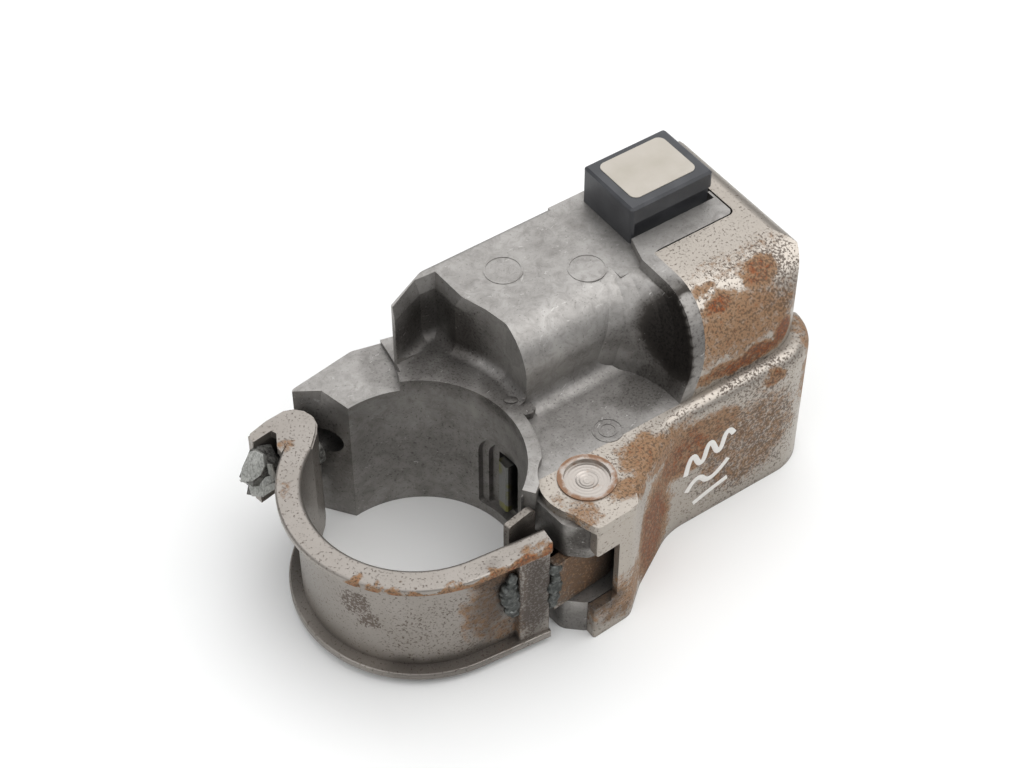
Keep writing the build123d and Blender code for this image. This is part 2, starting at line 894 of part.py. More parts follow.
def torn_lump(front, back, near, far):
    # A jagged lump between an outline at one distance across the bolt and one at another
    faces = []
    for points, distance in ((front, near), (back, far)):
        plane = Plane(origin=(0, distance, 0), x_dir=(1, 0, 0), z_dir=(0, -1, 0))
        faces.append(plane * make_face(Polyline(*points, close=True)))
    return loft(faces, ruled=True)


def shear_bolt():
    # The shank's end in the lug, the torn head and the tongue of metal that hangs from it
    shank = bolt_rod(-1.8, 8.4, bolt_radius)
    head = torn_lump(
        [(-17.2, 25.2), (-20.2, 26.8), (-22.9, 24.9), (-23.6, 22.3), (-19.9, 20.4), (-16.6, 20.6)],
        [(-16.8, 26.9), (-19.8, 28.3), (-21.4, 28.2), (-24.4, 22.2), (-19.4, 19.0), (-16.0, 21.0)],
        22.4,
        26.2,
    )
    tongue = torn_lump(
        [(-17.0, 21.0), (-23.9, 21.4), (-21.0, 18.6), (-21.9, 16.6), (-18.2, 17.6)],
        [(-16.6, 21.0), (-23.6, 20.6), (-22.6, 18.2), (-23.2, 15.8), (-17.8, 16.4)],
        24.2,
        26.5,
    )
    torn = shank + head + tongue - end_lug()
    return torn.solids().sort_by(SortBy.VOLUME)[-1]


# Gears


def tooth_half_angle(radius, pitch, module):
    # Half the angle an involute tooth fills at one radius
    base = pitch * math.cos(math.radians(tooth_angle))
    pressure = math.acos(min(1.0, base / radius))
    here = math.tan(pressure) - pressure
    there = math.tan(math.radians(tooth_angle)) - math.radians(tooth_angle)
    return (math.pi * module / 2 - tooth_backlash) / (2 * pitch) + there - here


def gear_face(teeth, module, turn):
    pitch = module * teeth / 2
    base = pitch * math.cos(math.radians(tooth_angle))
    root = pitch - tooth_foot * module
    radii = [max(root, base), pitch, pitch + tooth_top * module]
    halves = [tooth_half_angle(radius, pitch, module) for radius in radii]
    if root < base:
        radii.insert(0, root)
        halves.insert(0, halves[0])
    points = []
    for tooth in range(teeth):
        middle = turn + 2 * math.pi * tooth / teeth
        for radius, half in zip(radii, halves):
            points.append((radius * math.cos(middle - half), radius * math.sin(middle - half)))
        for radius, half in zip(reversed(radii), reversed(halves)):
            points.append((radius * math.cos(middle + half), radius * math.sin(middle + half)))
    return make_face(Polyline(*points, close=True)).face()


def worm_wheel():
    # One moulding: worm wheel above, rack pinion below, running on the fixed axle
    lead = math.atan(gear_module / (2 * worm_radius))
    twist = -math.degrees(wheel_width * math.tan(lead) / wheel_radius)
    low = wheel_z - wheel_width / 2
    face = gear_face(wheel_teeth, gear_module, math.pi / 2 + math.pi / wheel_teeth)
    wheel = Solid.extrude_linear_with_rotation(face, (0, 0, 0), (0, 0, wheel_width), twist)
    wheel = Pos(wheel_x, wheel_y, low) * Rot(0, 0, -twist / 2) * wheel
    start = rack_low + free_gap
    pinion = extrude(gear_face(pinion_teeth, rack_module, math.pi / 2), amount=rack_top + 0.5 - start)
    body = wheel + Pos(wheel_x, wheel_y, start) * pinion
    body += rod_z(wheel_x, wheel_y, pinion_radius - tooth_foot * rack_module, start, low + 1)
    return body - rod_z(wheel_x, wheel_y, axle_radius + running_gap, 0, 60)


def wheel_axle():
    return rod_z(wheel_x, wheel_y, axle_radius, housing_wall + 4, wheel_z + wheel_width / 2 + 1.6)


def retaining_clip():
    low = wheel_z + wheel_width / 2 + free_gap
    ring = rod_z(wheel_x, wheel_y, axle_radius + clip_width, low, low + clip_thickness)
    return ring - rod_z(wheel_x, wheel_y, axle_radius, 0, 60)


def worm():
    # Single-start worm: its cross-section turned about the shaft once for each pitch
    pitch = math.pi * gear_module
    root = worm_radius - tooth_foot * gear_module
    tip = worm_radius + tooth_top * gear_module
    half_pitch = (pitch / 2 - tooth_backlash) / 2
    steps = 6
    flank = []
    for index in range(steps + 1):
        radius = root + (tip - root) * index / steps
        half = half_pitch + (worm_radius - radius) * math.tan(math.radians(tooth_angle))
        flank.append((radius, 360 * half / pitch))
    near = [polar(radius, -angle) for radius, angle in flank]
    far = [polar(radius, angle) for radius, angle in reversed(flank)]
    outline = [
        Polyline(*near),
        ThreePointArc(near[-1], (tip, 0), far[0]),
        Polyline(*far),
        ThreePointArc(far[-1], (-root, 0), near[0]),
    ]
    turns = 360 * worm_length / pitch
    face = make_face(outline).face()
    thread = Solid.extrude_linear_with_rotation(face, (0, 0, 0), (0, 0, worm_length), -turns)
    plane = Plane((wheel_x - worm_length / 2, shaft_y, shaft_height), x_dir=(0, -1, 0), z_dir=(1, 0, 0))
    return plane * (Rot(0, 0, turns / 2) * thread) - rod_x(0, end_x, shaft_radius)


# Motor


def motor_plane(x):
    return Plane((x, shaft_y, shaft_height), x_dir=(0, 1, 0), z_dir=(1, 0, 0))


def motor_section(inset):
    return Circle(motor_width / 2 - inset) & Rectangle(motor_width, motor_flat - 2 * inset)


def motor_shaft():
    return rod_x(motor_start + 4, platform_end + 0.7, shaft_radius)


def motor_can():
    start = motor_start + motor_cap
    length = motor_length - motor_cap
    can = extrude(motor_plane(start) * motor_section(0), amount=length)
    can -= extrude(motor_plane(start) * motor_section(can_wall), amount=length - can_wall)
    can += rod_x(motor_end, motor_end + motor_boss, 3 * shaft_radius)
    return can - rod_x(0, end_x, shaft_radius + running_gap)


def motor_end_cap():
    return extrude(motor_plane(motor_start) * motor_section(0), amount=motor_cap)


def magnet_span():
    return motor_start + motor_cap + 3.0, motor_end - 4.0


def rotor():
    start, end = magnet_span()
    core = rod_x(start, end, rotor_radius)
    for index in range(3):
        slot = Rot(0, 0, 120 * index) * Pos(4.4, 0) * Rectangle(4.0, 1.4)
        core -= extrude(motor_plane(start - 0.1) * slot, amount=end - start + 0.2)
    return core - rod_x(0, end_x, shaft_radius)


def field_magnets():
    start, end = magnet_span()
    ring = motor_section(can_wall) - Circle(rotor_radius + magnet_gap)
    magnets = []
    for side in (-1, 1):
        half = ring & (Pos(side * motor_width / 2, 0) * Rectangle(motor_width / 2 + 1.0, motor_width))
        magnets.append(extrude(motor_plane(start) * half, amount=end - start))
    return magnets


def shaft_bush():
    bush = rod_x(platform_end - 1.6, platform_end + 0.9, shaft_radius + bush_wall)
    return bush - rod_x(0, end_x, shaft_radius + running_gap)


# Lock bolt and slider


def blade_block(start, end, widen, shorten):
    half = blade_width / 2 + widen
    tall = blade_tall / 2 - shorten
    return block(start, end, blade_y - half, blade_y + half, blade_z - tall, blade_z + tall)


def lock_bolt():
    blade = blade_block(blade_tip, blade_end, 0, 0)
    blade = chamfer(blade.edges().filter_by(Axis.Z).sort_by(Axis.X)[:2], 0.4)
    return blade + blade_block(blade_end - head_length, blade_end, head_step, 1)


def bolt_slider():
    # Moulded carriage: a box round the bolt's head and spring, and an arm with the rack
    near = blade_y - blade_width / 2 - head_step - slider_wall
    far = blade_y + blade_width / 2 + head_step + slider_wall
    low = blade_z - blade_tall / 2 - slider_wall + 1.4
    body = block(slider_front, slider_end, near, far, low, rack_low)
    body += block(slider_front, slider_end, near, arm_back, arm_low, rack_low)
    body += block(slider_front, rack_end, rack_line + 0.9 * rack_module, arm_back, arm_low, rack_top)
    body -= blade_block(blade_end - head_length, blade_end + spring_space, head_step, 1)
    body -= blade_block(0, blade_end, 0, 0)
    return body + rack_teeth()


def rack_teeth():
    pitch = math.pi * rack_module
    top = tooth_top * rack_module
    half = (pitch / 2 - tooth_backlash) / 2
    slope = math.tan(math.radians(tooth_angle))
    first = -2
    last = math.floor((rack_end - 1.0 - wheel_x - half - pitch / 2) / pitch)
    teeth = []
    for index in range(first, last + 1):
        x = wheel_x + (index + 0.5) * pitch
        outline = [
            (x - half - rack_module * slope, rack_line + rack_module),
            (x - half + top * slope, rack_line - top),
            (x + half - top * slope, rack_line - top),
            (x + half + rack_module * slope, rack_line + rack_module),
        ]
        teeth.append(prism(outline, rack_low, rack_top))
    return teeth


def bolt_spring():
    turns = 5
    length = spring_space - 2 * spring_wire
    path = Helix(pitch=length / turns, height=length, radius=spring_radius)
    coil = sweep(Plane(origin=path @ 0, z_dir=path % 0) * Circle(spring_wire), path=path, is_frenet=True)
    return Plane((blade_end + spring_wire, blade_y, blade_z), z_dir=(1, 0, 0)) * coil


# Connector, board and small parts


def contact_places():
    middle = connector_x + connector_length / 2
    return [middle + (index - (contact_count - 1) / 2) * contact_pitch for index in range(contact_count)]


def contact_pin(x, low, reach):
    # An upright post and the blade that turns out into the socket
    half = contact_size / 2
    post = block(x - half, x + half, contact_y, contact_y + contact_size, low, contact_z + half)
    return post + block(x - half, x + half, contact_y, contact_y + reach, contact_z - half, contact_z + half)


def connector_housing():
    x1 = connector_x + connector_length
    y1 = connector_y + connector_width
    corners = [(connector_x, connector_y), (x1, connector_y), (x1, y1), (connector_x, y1)]
    body = prism(corners, box_height, connector_top, 0.8)
    body = chamfer(body.edges().filter_by_position(Axis.Z, connector_top, connector_top), 0.5)
    # The long side steps back below its rim band
    body -= block(
        connector_x + 0.8,
        x1 + 1,
        connector_y - 1,
        connector_y + connector_step,
        box_height - 1,
        connector_top - connector_band,
    )
    body += block(
        seam_top + 1.6,
        platform_end - 3.1,
        platform_front + 9.1,
        box_back - 4.1,
        board_top,
        box_height,
    )
    body -= block(
        connector_x + connector_wall,
        x1 - connector_wall,
        y1 - socket_depth,
        y1 + 1,
        box_height + connector_wall,
        connector_top - connector_wall,
    )
    for x in contact_places():
        body -= contact_pin(x, 0, contact_length)
    return body


def connector_contacts():
    return [contact_pin(x, board_top - board_thickness - 0.8, contact_length) for x in contact_places()]


def connector_label():
    x0 = connector_x + label_margin
    x1 = connector_x + connector_length - label_margin
    y0 = connector_y + label_margin
    y1 = connector_y + connector_width - label_margin + 0.6
    corners = [(x0, y0), (x1, y0), (x1, y1), (x0, y1)]
    return prism(corners, connector_top, connector_top + label_thickness, 1.6)


def circuit_board():
    low = board_top - board_thickness
    board = block(seam_top - 1.2, platform_end - 1.8, platform_front + 0.8, box_back - 3.0, low, board_top)
    for x in contact_places():
        board -= contact_pin(x, 0, contact_size)
    return board


def position_sensors():
    top = board_top - board_thickness
    sensors = []
    for x in (seam_top, seam_top + bolt_travel):
        sensors.append(
            block(x, x + sensor_size, platform_front + 1.2, platform_front + 3.2, top - sensor_height, top)
        )
    return sensors


def write(name, shape):
    # One STEP file for each node; a group of like pieces stays a group of solids
    if isinstance(shape, list):
        shape = Compound(children=[item.solid() for item in shape])
    export_step(shape, os.path.join("parts", name + ".step"))


def main():
    os.makedirs("parts", exist_ok=True)
    write("main_housing", main_housing())
    write("cover", cover())
    write("cover_pins", cover_pins())
    write("hinge_pin", hinge_pin())
    write("clamp_band", clamp_band())
    write("joint_plate", joint_plate())
    write("hinge_strap", hinge_strap())
    write("weld_beads", weld_beads())
    write("shear_bolt", shear_bolt())
    write("lock_bolt", lock_bolt())
    write("bolt_slider", bolt_slider())
    write("bolt_spring", bolt_spring())
    write("worm_wheel", worm_wheel())
    write("wheel_axle", wheel_axle())
    write("retaining_clip", retaining_clip())
    write("worm", worm())
    write("motor_shaft", motor_shaft())
    write("rotor", rotor())
    write("motor_can", motor_can())
    write("motor_end_cap", motor_end_cap())
    write("field_magnets", field_magnets())
    write("shaft_bush", shaft_bush())
    write("connector_housing", connector_housing())
    write("connector_contacts", connector_contacts())
    write("connector_label", connector_label())
    write("circuit_board", circuit_board())
    write("position_sensors", position_sensors())


main()
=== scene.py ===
# Electric steering lock with its clamp band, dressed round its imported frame

import math

import bpy
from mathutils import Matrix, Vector


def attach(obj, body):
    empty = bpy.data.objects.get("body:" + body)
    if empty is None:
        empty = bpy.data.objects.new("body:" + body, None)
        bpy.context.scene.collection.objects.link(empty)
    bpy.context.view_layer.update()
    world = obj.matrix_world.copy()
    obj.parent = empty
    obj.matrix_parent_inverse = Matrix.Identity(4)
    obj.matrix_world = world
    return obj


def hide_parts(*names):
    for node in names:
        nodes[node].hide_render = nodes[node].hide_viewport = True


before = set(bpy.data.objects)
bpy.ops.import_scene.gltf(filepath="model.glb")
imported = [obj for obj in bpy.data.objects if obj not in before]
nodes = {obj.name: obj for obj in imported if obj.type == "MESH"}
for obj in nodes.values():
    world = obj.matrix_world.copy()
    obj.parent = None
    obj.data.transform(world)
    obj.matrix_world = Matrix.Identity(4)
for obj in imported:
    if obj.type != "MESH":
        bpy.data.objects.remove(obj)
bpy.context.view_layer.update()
mm = 0.001


# Camera: it looks down on the lock from the clamp's side, as the photograph does. Its place and lens
# were solved from the upright and level edges of the housing.
camera = bpy.data.objects.new("camera", bpy.data.cameras.new("camera"))
bpy.context.scene.collection.objects.link(camera)
camera.location = (-0.1412247, -0.2314945, 0.3474484)
camera_aim = Vector((0.392482, 0.556650, -0.732185))
camera.rotation_euler = camera_aim.to_track_quat("-Z", "Y").to_euler()
camera.data.sensor_width = 36
camera.data.lens = 77.34
camera.data.clip_start = 0.01
bpy.context.scene.camera = camera


# Studio: a white table top under three soft round lamps, with white all round that fills the shadows
# and is dimmest at the horizon. The table is matt laminate, so its shadows are faint and soft.
def colour(code):
    # sRGB hex to the linear values that a shader works in
    linear = []
    for start in (1, 3, 5):
        part = int(code[start : start + 2], 16) / 255
        linear.append(part / 12.92 if part <= 0.04045 else ((part + 0.055) / 1.055) ** 2.4)
    return linear + [1.0]


def add(tree, kind, inputs=None, **settings):
    # One shader node with its settings, and a value or a link for each input
    made = tree.nodes.new("ShaderNode" + kind)
    for name, value in settings.items():
        setattr(made, name, value)
    for name, value in (inputs or {}).items():
        if isinstance(value, bpy.types.NodeSocket):
            tree.links.new(value, made.inputs[name])
        else:
            made.inputs[name].default_value = value
    return made


def new_material(name):
    material = bpy.data.materials.new(name)
    material.use_nodes = True
    material.node_tree.nodes.clear()
    return material, material.node_tree


def close_material(tree, inputs):
    # Every material ends in one principled shader
    shader = add(tree, "BsdfPrincipled", inputs)
    add(tree, "OutputMaterial", {"Surface": shader.outputs[0]})


def object_place(tree):
    # Where a point lies on its object, in metres
    return add(tree, "TexCoord").outputs["Object"]


def blend(tree, share, first, second):
    # From the first colour to the second as the share goes from 0 to 1
    return add(tree, "Mix", {0: share, 6: first, 7: second}, data_type="RGBA").outputs[2]


def ramp(tree, value, low, high, start=0.0, end=1.0, **settings):
    # The value's run from low to high, stretched to run from start to end
    inputs = {0: value, 1: low, 2: high, 3: start, 4: end}
    return add(tree, "MapRange", inputs, **settings).outputs[0]


laminate, tree = new_material("white laminate")
place = object_place(tree)
cloud = add(tree, "TexNoise", {"Vector": place, "Scale": 14.0, "Detail": 3.0}).outputs["Fac"]
tone = blend(tree, cloud, colour("#f6f6f4"), colour("#f1f1ef"))
close_material(tree, {"Base Color": tone, "Roughness": 0.55, "Specular IOR Level": 0.3})

table_size = 6.0
table_height = -0.00005
bpy.ops.object.select_all(action="DESELECT")
bpy.ops.mesh.primitive_plane_add(size=table_size, location=(0, 0, table_height))
table = bpy.context.object
table.name = "table_top"
table.data.materials.append(laminate)

world = bpy.data.worlds.new("studio")
bpy.context.scene.world = world
world.use_nodes = True
sky = world.node_tree
upward = add(sky, "SeparateXYZ", {0: add(sky, "TexCoord").outputs["Generated"]}).outputs["Z"]
glow = ramp(sky, upward, 0.0, 0.95, 0.1, 1.0, interpolation_type="SMOOTHSTEP")
sky.nodes["Background"].inputs["Color"].default_value = colour("#fbfcff")
sky.links.new(glow, sky.nodes["Background"].inputs["Strength"])

lamps_aim = Vector((0.03, 0, 0.02))
lamps = [
    ("overhead", (0.44, -0.3, 0.95), 1.1, 5.4),
    ("window", (0.34, 0.62, 0.85), 1.0, 2.2),
    ("wall", (-0.8, -0.2, 0.7), 0.9, 1.8),
]
for lamp_name, spot, size, power in lamps:
    lamp = bpy.data.lights.new(lamp_name, "AREA")
    lamp.shape = "DISK"
    lamp.size = size
    lamp.energy = power
    lamp_object = bpy.data.objects.new(lamp_name, lamp)
    bpy.context.scene.collection.objects.link(lamp_object)
    lamp_object.location = spot
    lamp_object.rotation_euler = (lamps_aim - Vector(spot)).to_track_quat("-Z", "Y").to_euler()

bpy.context.scene.view_settings.view_transform = "Standard"


# Housing: one aluminium die casting, left bare as it came out of the die and deburred.
# It is light satin grey where hands rub it and on the end flange's edge, with fine scratches. In the
# scoop, the bore, the sweep, on the shelf and in the neck under the cover's ear it is darkened by
# patches that are partly soot and partly painted shade, and painted shade darkens its tight corners.
def give(node_name, material):
    mesh = nodes[node_name].data
    mesh.materials.clear()
    mesh.materials.append(material)


def compute(tree, operation, *values):
    return add(tree, "Math", dict(enumerate(values)), operation=operation).outputs[0]


def noise(tree, place, size, detail, roughness=0.5, distortion=0.0):
    # Cloudy noise whose coarsest features are of about this size in millimetres
    look = {"Detail": detail, "Roughness": roughness, "Distortion": distortion}
    inputs = {"Vector": place, "Scale": 1 / (size * mm), **look}
    return add(tree, "TexNoise", inputs).outputs["Fac"]


def bump(tree, height, strength, depth):
    # A fine relief of this depth in millimetres
    inputs = {"Height": height, "Strength": strength, "Distance": depth * mm}
    return add(tree, "Bump", inputs).outputs[0]


def hollows(tree, reach):
    # How open a point is, from 0 in a tight corner to 1, judged within this reach in millimetres
    return add(tree, "AmbientOcclusion", {"Distance": reach * mm}, samples=8).outputs["AO"]


def patches(tree, place, spots):
    # How far a point lies inside any of these soft ellipsoids, in millimetres, each given by its
    # middle, half sizes and strength
    core, rim = 0.55, 1.25
    total = 0.0
    for middle, half, strength in spots:
        middle = [value * mm for value in middle]
        half = [value * mm for value in half]
        offset = add(tree, "VectorMath", {0: place, 1: middle}, operation="SUBTRACT").outputs[0]
        scaled = add(tree, "VectorMath", {0: offset, 1: half}, operation="DIVIDE").outputs[0]
        length = add(tree, "VectorMath", {0: scaled}, operation="LENGTH").outputs["Value"]
        fade = ramp(tree, length, core, rim, strength, 0.0, interpolation_type="SMOOTHSTEP")
        total = compute(tree, "MAXIMUM", total, fade)
    return total


def wander(tree, place, size, reach):
    # The place moved about by noise of this size, so that no patch has an even edge
    drift = add(tree, "TexNoise", {"Vector": place, "Scale": 1 / (size * mm), "Detail": 4.0})
    drift = drift.outputs["Color"]
    centred = add(tree, "VectorMath", {0: drift, 1: (0.5, 0.5, 0.5)}, operation="SUBTRACT").outputs[0]
    moved = add(tree, "VectorMath", {0: centred, "Scale": reach * mm}, operation="SCALE").outputs[0]
    return add(tree, "VectorMath", {0: place, 1: moved}, operation="ADD").outputs[0]


casting, tree = new_material("die-cast aluminium")
place = object_place(tree)
cloud = noise(tree, place, 8, 7.0, 0.62)
grain = noise(tree, place, 0.5, 5.0, 0.65)
flow = noise(tree, place, 2.6, 8.0, 0.7, distortion=0.8)
tone = ramp(tree, cloud, 0.35, 0.65)
light = blend(tree, tone, colour("#9a9793"), colour("#aeaba7"))
smear = ramp(tree, flow, 0.3, 0.55, 0.42, 0.0)
light = blend(tree, smear, light, colour("#6b6763"))
loose = wander(tree, place, 7, 7)
# Darkening patches, partly real soot and partly painted shade: the bore, the scoop, the sweep, the
# shelf and the neck under the cover's ear
soot_and_shade = patches(
    tree,
    loose,
    [
        ((0, 0, 14), (25, 25, 20), 0.62),
        ((17, 18, 41), (12, 12, 9), 0.85),
        ((44, -4, 42), (20, 5, 5), 0.5),
        ((56, -9, 43), (9, 11, 11), 1.5),
        ((38, -8, 34), (22, 9, 3), 0.4),
        ((48, -9, 34), (11, 6, 4), 0.75),
        ((23, 4, 34), (5, 9, 3), 0.6),
        ((-7, 27, 22), (8, 8, 9), 0.6),
        ((25, -24, 24), (12, 9, 9), 0.9),
        ((22, -24, 4), (10, 8, 6), 0.5),
        ((10, 26, 32.5), (5, 8, 2), 0.3),
        ((19, -28, 28), (5, 4, 5), 0.9),
    ],
)
flange_edge = [
    (57.9, -7.4, 50.8),
    (57.4, -9.2, 49.9),
    (57.0, -10.8, 48.7),
    (56.6, -12.2, 47.4),
    (56.2, -13.4, 45.8),
    (55.8, -14.4, 44.1),
    (55.4, -15.1, 42.3),
    (55.0, -15.6, 40.3),
    (54.7, -15.8, 38.3),
    (53.8, -15.9, 36.5),
    (53.0, -15.9, 34.8),
]
rubbed_size = (2.2, 1.7, 1.7)
rubbed = patches(tree, place, [(point, rubbed_size, 0.72) for point in flange_edge])
kept = compute(tree, "SUBTRACT", 1.0, rubbed)
soot_and_shade = compute(tree, "MULTIPLY", soot_and_shade, kept)
freckle = compute(tree, "MULTIPLY", soot_and_shade, 0.13)
freckle = compute(tree, "SUBTRACT", grain, freckle)
freckle = ramp(tree, freckle, 0.28, 0.4, 0.6, 0.0)
patina_and_shade = blend(tree, soot_and_shade, light, colour("#4a4642"))
drawn_out = {"Vector": loose, "Rotation": (0.3, 0.2, 0.7), "Scale": (0.12, 1.0, 1.0)}
drag = add(tree, "Mapping", drawn_out).outputs[0]
scratch = noise(tree, drag, 0.5, 2.0)
scratch = ramp(tree, scratch, 0.69, 0.74, 0.0, 0.65)
patina_and_shade = blend(tree, scratch, patina_and_shade, colour("#c4c1bd"))
# Soot and painted shade together, nearly black where the patches are strongest
black = ramp(tree, soot_and_shade, 0.8, 1.5)
patina_and_shade = blend(tree, black, patina_and_shade, colour("#1f1d1b"))
patina_and_shade = blend(tree, freckle, patina_and_shade, colour("#35312e"))
# Painted shade: darker into tight corners, judged by ambient occlusion
corner_shade = hollows(tree, 9)
corner_shade = ramp(tree, corner_shade, 0.2, 0.8, 0.4, 0.0)
patina_and_shade = blend(tree, corner_shade, patina_and_shade, colour("#35322f"))
satin = ramp(tree, flow, 0.3, 0.7, 0.58, 0.46)
relief = compute(tree, "ADD", flow, grain)
bumps = bump(tree, relief, 0.35, 0.12)
close_material(tree, {"Base Color": patina_and_shade, "Metallic": 0.85, "Roughness": satin, "Normal": bumps})
give("main_housing", casting)


# Ejector marks: round scars where the die's pins pushed the casting out, each a fine lip that the
# molten metal squeezed up round its pin. The one on the shelf has a second, smaller pin inside it.
def finish_piece(piece, name, material, body):
    # A modelled piece named, at the origin, smooth where it bends, dressed, and riding on its body
    sharpest_smooth = math.radians(40)
    piece.name = name
    bpy.ops.object.transform_apply(location=True, rotation=True, scale=True)
    bpy.ops.object.shade_smooth_by_angle(angle=sharpest_smooth)
    piece.data.materials.clear()
    piece.data.materials.append(material)
    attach(piece, body)


def join_pieces(pieces):
    bpy.ops.object.select_all(action="DESELECT")
    for piece in pieces:
        piece.select_set(True)
    bpy.context.view_layer.objects.active = pieces[0]
    bpy.ops.object.join()
    return bpy.context.object


lip_width = 0.36 * mm
lip_height = 0.24 * mm
lip_steps = 56
pin_marks = [
    (34.2, 20.3, 50.0, 3.9),
    (47.9, 11.4, 50.0, 3.9),
    (35.1, -13.2, 33.5, 3.1),
    (35.1, -13.2, 33.5, 1.8),
]
lips = []
for x, y, z, radius in pin_marks:
    middle = (x * mm, y * mm, z * mm - lip_height / 2)
    bpy.ops.object.select_all(action="DESELECT")
    bpy.ops.mesh.primitive_circle_add(vertices=lip_steps, radius=radius * mm, location=middle)
    bpy.ops.object.mode_set(mode="EDIT")
    bpy.ops.mesh.extrude_edges_move()
    grown = 1 - lip_width / (radius * mm)
    bpy.ops.transform.resize(value=(grown, grown, 1))
    bpy.ops.mesh.select_all(action="SELECT")
    bpy.ops.mesh.extrude_region_move(TRANSFORM_OT_translate={"value": (0, 0, lip_height)})
    bpy.ops.mesh.select_all(action="SELECT")
    bpy.ops.mesh.normals_make_consistent(inside=False)
    bpy.ops.object.mode_set(mode="OBJECT")
    lips.append(bpy.context.object)
finish_piece(join_pieces(lips), "ejector_marks", casting, "housing")


# Seat land: the low platform of the casting that carries on from its flange, along the front of the
# connector and round its corner, flush with the cover. A thin dark gap is left between the two.
def draw_face(points):
    # One face drawn by extruding a single vertex from point to point, in millimetres
    bpy.ops.object.select_all(action="DESELECT")
    bpy.ops.mesh.primitive_plane_add(size=mm, location=(0, 0, 0))
    bpy.ops.object.mode_set(mode="EDIT")
    bpy.ops.mesh.select_all(action="SELECT")
    bpy.ops.mesh.merge(type="CENTER")
    bpy.ops.transform.translate(value=[value * mm for value in points[0]])
    for last, point in zip(points, points[1:]):
        step = [(after - before) * mm for before, after in zip(last, point)]
        bpy.ops.mesh.extrude_region_move(TRANSFORM_OT_translate={"value": step})
    bpy.ops.mesh.select_all(action="SELECT")
    bpy.ops.mesh.edge_face_add()


def raise_face(direction):
    # The drawn face pulled out into a closed plate, in millimetres
    bpy.ops.mesh.select_all(action="SELECT")
    pull = [value * mm for value in direction]
    bpy.ops.mesh.extrude_region_move(TRANSFORM_OT_translate={"value": pull})
    bpy.ops.mesh.select_all(action="SELECT")
    bpy.ops.mesh.normals_make_consistent(inside=False)
    bpy.ops.object.mode_set(mode="OBJECT")
    return bpy.context.object


land_foot = 49.8
land_top = 51.95
land_gap = 0.35
land_front = 5.6
land_back = 11.4
land_right = 79.75
land_end = 13.5
land_end_width = 0.5
land_bend = 1.3
bend_x = land_right - land_bend
bend_y = land_front + land_gap + land_bend
land_outline = [(56.75, land_front), (59.6, land_front), (60.2, 5.7), (61.0, land_front + land_gap)]
for turn in (0, 22.5, 45, 67.5, 90):
    swing = math.radians(turn - 90)
    land_outline.append((bend_x + land_bend * math.cos(swing), bend_y + land_bend * math.sin(swing)))
land_inside = land_right - land_end_width
land_outline += [(land_right, land_end), (land_inside, land_end)]
land_outline += [(land_inside, land_back), (58.6, land_back)]
draw_face([(x, y, land_foot) for x, y in land_outline])
land = raise_face((0, 0, land_top - land_foot))
finish_piece(land, "seat_land", casting, "housing")


# Corner web: the small hollow-faced web of the casting between the box's front corner and the rim of
# the bore, which carries the box's foot on to the shelf. Beside it on the rim lies a lump of flash
# that the deburring missed.
web_side = 26.35
web_front = 0.7
web_foot = 33.3
web_round = 3.4
web_middle_y = -2.95
web_middle_z = 36.9
web_outline = [(web_side, web_front, web_foot), (web_side, web_front, 36.6)]
for turn in (5, 20, 35, 50, 65, 80):
    swing = math.radians(-turn)
    y = web_middle_y + web_round * math.cos(swing)
    z = web_middle_z + web_round * math.sin(swing)
    web_outline.append((web_side, y, z))
web_outline.append((web_side, -2.6, web_foot))
draw_face(web_outline)
web = raise_face((-1.3, 0.35, -0.7))

rim_top = 34.98
foot_outline = [(23.3, 0.9), (23.4, -0.8), (23.7, -2.0), (25.2, -2.4), (26.4, -1.6), (26.4, 0.9)]
draw_face([(x, y, rim_top) for x, y in foot_outline])
foot = raise_face((0, 0, -1.6))

flash_foot = 34.9
flash_height = 0.45
flash_edge = 0.16 * mm
flash_outline = []
for turn in range(0, 360, 30):
    swing = math.radians(turn)
    x = 23.6 + 1.35 * math.cos(swing)
    y = 2.6 + 1.0 * math.sin(swing) - 0.5 * math.cos(swing)
    flash_outline.append((x, y, flash_foot))
draw_face(flash_outline)
flash = raise_face((0, 0, flash_height))
bpy.ops.object.mode_set(mode="EDIT")
bpy.ops.mesh.select_all(action="SELECT")
bpy.ops.mesh.bevel(offset=flash_edge, segments=2, affect="EDGES")
bpy.ops.object.mode_set(mode="OBJECT")
finish_piece(join_pieces([web, foot, flash]), "corner_web", casting, "housing")
